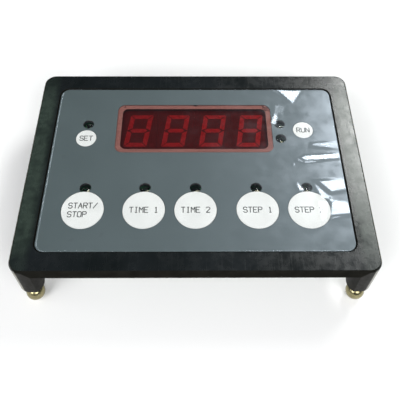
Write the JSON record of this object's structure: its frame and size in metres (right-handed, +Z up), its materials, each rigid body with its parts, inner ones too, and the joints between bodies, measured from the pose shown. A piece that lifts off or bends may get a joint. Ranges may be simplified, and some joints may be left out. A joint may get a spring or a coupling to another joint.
{
  "type": "enlarger timer",
  "caption": "Low darkroom timer control head: black moulded frame on corner legs, grey keypad panel with round white keys, indicator LEDs and a red seven-segment display, open underneath.",
  "frame": {"origin": "middle of the footprint, at the level the four feet stand on", "axes": "+X to the user's right along the long side, +Y away from the user, +Z up out of the keypad"},
  "size_m": [0.17, 0.12, 0.038],
  "materials": {
    "frame_black": "satin moulded, rubbed at the edges",
    "cover_film": "clear, glossy, slightly wavy",
    "overlay_grey": "fine matt print",
    "window_red": "clear red filter",
    "plate_metal": "satin sheet",
    "key_white": "smooth matt",
    "switch_black": "moulded",
    "lead_tin": "tinned",
    "module_dark": "moulded",
    "segment_red": "translucent",
    "led_clear": "clear moulded",
    "board_green": "solder mask",
    "chip_black": "moulded",
    "network_yellow": "dipped",
    "capacitor_blue": "printed sleeve",
    "crystal_can": "drawn can",
    "header_black": "moulded",
    "pin_gold": "plated",
    "spacer_brass": "nickel plated",
    "screw_zinc": "zinc plated",
    "foot_bright": "polished"
  },
  "bodies": {
    "root": {"backing_plate": "plate_metal", "board_screws": "screw_zinc", "board_spacers": "spacer_brass", "buzzer": "chip_black", "capacitors": "capacitor_blue", "circuit_board": "board_green", "clear_film": "cover_film", "crystal": "crystal_can", "digit_body_1": "module_dark", "digit_body_2": "module_dark", "digit_body_3": "module_dark", "digit_body_4": "module_dark", "digit_pins": "lead_tin", "digit_segments_1": "segment_red", "digit_segments_2": "segment_red", "digit_segments_3": "segment_red", "digit_segments_4": "segment_red", "display_driver": "chip_black", "display_window": "window_red", "foot_screws": "foot_bright", "front_bezel": "frame_black", "graphic_overlay": "overlay_grey", "header_pins": "pin_gold", "header_shell": "header_black", "indicator_led_1": "led_clear", "indicator_led_2": "led_clear", "indicator_led_3": "led_clear", "indicator_led_4": "led_clear", "indicator_led_5": "led_clear", "indicator_led_6": "led_clear", "indicator_led_7": "led_clear", "indicator_led_8": "led_clear", "led_leads": "lead_tin", "microcontroller": "chip_black", "plate_screws": "screw_zinc", "resistor_networks": "network_yellow", "switch_body_run": "switch_black", "switch_body_set": "switch_black", "switch_body_start_stop": "switch_black", "switch_body_step_1": "switch_black", "switch_body_step_2": "switch_black", "switch_body_time_1": "switch_black", "switch_body_time_2": "switch_black", "switch_leads": "lead_tin", "voltage_regulator": "chip_black"},
    "key_run": {"key_cap_run": "key_white", "switch_plunger_run": "switch_black"},
    "key_set": {"key_cap_set": "key_white", "switch_plunger_set": "switch_black"},
    "key_start_stop": {"key_cap_start_stop": "key_white", "switch_plunger_start_stop": "switch_black"},
    "key_step_1": {"key_cap_step_1": "key_white", "switch_plunger_step_1": "switch_black"},
    "key_step_2": {"key_cap_step_2": "key_white", "switch_plunger_step_2": "switch_black"},
    "key_time_1": {"key_cap_time_1": "key_white", "switch_plunger_time_1": "switch_black"},
    "key_time_2": {"key_cap_time_2": "key_white", "switch_plunger_time_2": "switch_black"}
  },
  "joints": [
    {"name": "press_run", "type": "slide", "parent": "root", "child": "key_run", "axis": [0, 0, -1], "range_m": [0, 0.0004], "stiffness_N_per_m": 2500},
    {"name": "press_set", "type": "slide", "parent": "root", "child": "key_set", "axis": [0, 0, -1], "range_m": [0, 0.0004], "stiffness_N_per_m": 2500},
    {"name": "press_start_stop", "type": "slide", "parent": "root", "child": "key_start_stop", "axis": [0, 0, -1], "range_m": [0, 0.0004], "stiffness_N_per_m": 2500},
    {"name": "press_step_1", "type": "slide", "parent": "root", "child": "key_step_1", "axis": [0, 0, -1], "range_m": [0, 0.0004], "stiffness_N_per_m": 2500},
    {"name": "press_step_2", "type": "slide", "parent": "root", "child": "key_step_2", "axis": [0, 0, -1], "range_m": [0, 0.0004], "stiffness_N_per_m": 2500},
    {"name": "press_time_1", "type": "slide", "parent": "root", "child": "key_time_1", "axis": [0, 0, -1], "range_m": [0, 0.0004], "stiffness_N_per_m": 2500},
    {"name": "press_time_2", "type": "slide", "parent": "root", "child": "key_time_2", "axis": [0, 0, -1], "range_m": [0, 0.0004], "stiffness_N_per_m": 2500}
  ]
}
